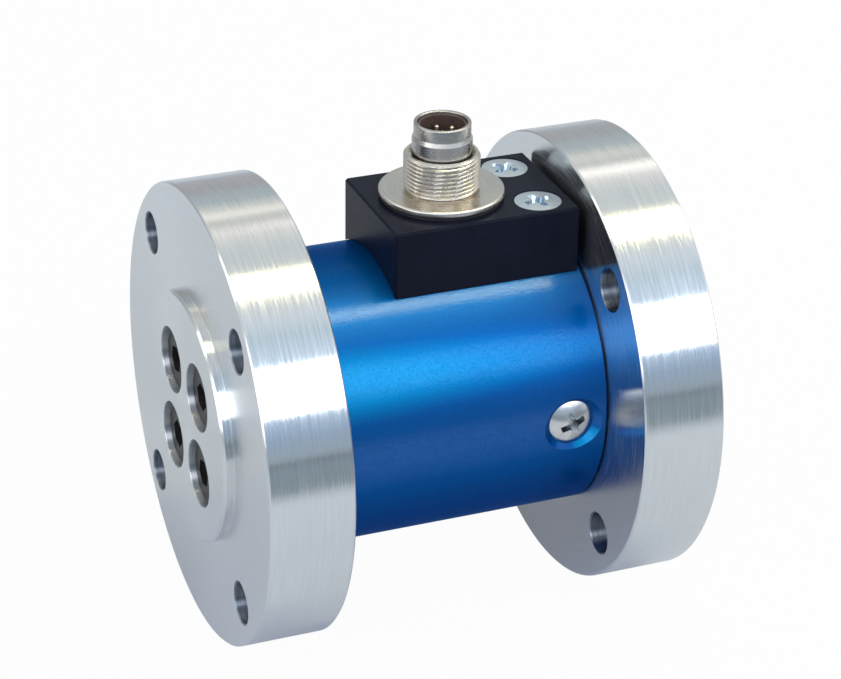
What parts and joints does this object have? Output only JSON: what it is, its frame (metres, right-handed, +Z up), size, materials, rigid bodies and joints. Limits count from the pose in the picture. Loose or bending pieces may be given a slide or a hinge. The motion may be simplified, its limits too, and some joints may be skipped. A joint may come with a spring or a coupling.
{
  "type": "reaction torque sensor",
  "caption": "Flange-to-flange reaction torque sensor: bare metal flanges, blue housing sleeve, black connector block and a round threaded multi-pole connector.",
  "frame": {"origin": "centre of the fixed flange's mounting face, where its pilot begins", "axes": "+X along the sensor's axis out of the fixed flange, +Z up along the connector, the measuring flange on the -X side"},
  "size_m": [0.0576, 0.055, 0.0604],
  "materials": {
    "flange_aluminium": "fine turned, satin",
    "body_steel": "fine turned",
    "black_steel": "black oxide",
    "blue_anodised": "blue anodised, fine turned, satin",
    "bright_steel": "bright, nickel plated",
    "black_anodised": "black anodised, satin",
    "zinc_steel": "bright zinc plated",
    "black_rubber": "matt",
    "nickel_plate": "nickel plated, satin",
    "insert_plastic": "dark moulding",
    "gold_contact": "gold plated",
    "gauge_film": "amber film",
    "solder_copper": "tinned copper",
    "wire_cover": "red insulation",
    "board_laminate": "green laminate",
    "resistor_body": "black body"
  },
  "bodies": {
    "root": {"measuring_body": "body_steel", "rear_flange": "flange_aluminium", "front_flange": "flange_aluminium", "flange_screws": "black_steel", "housing_sleeve": "blue_anodised", "housing_screws": "bright_steel", "connector_block": "black_anodised", "block_screws": "zinc_steel", "connector_gasket": "black_rubber", "connector_shell": "nickel_plate", "contact_sleeve": "nickel_plate", "contact_insert": "insert_plastic", "contact_pins": "gold_contact", "connector_nut": "nickel_plate", "strain_gauges": "gauge_film", "solder_terminals": "solder_copper", "gauge_leads": "wire_cover", "balance_board": "board_laminate", "balance_resistors": "resistor_body", "lead_wires": "wire_cover", "dust_seal": "black_rubber"}
  },
  "joints": []
}
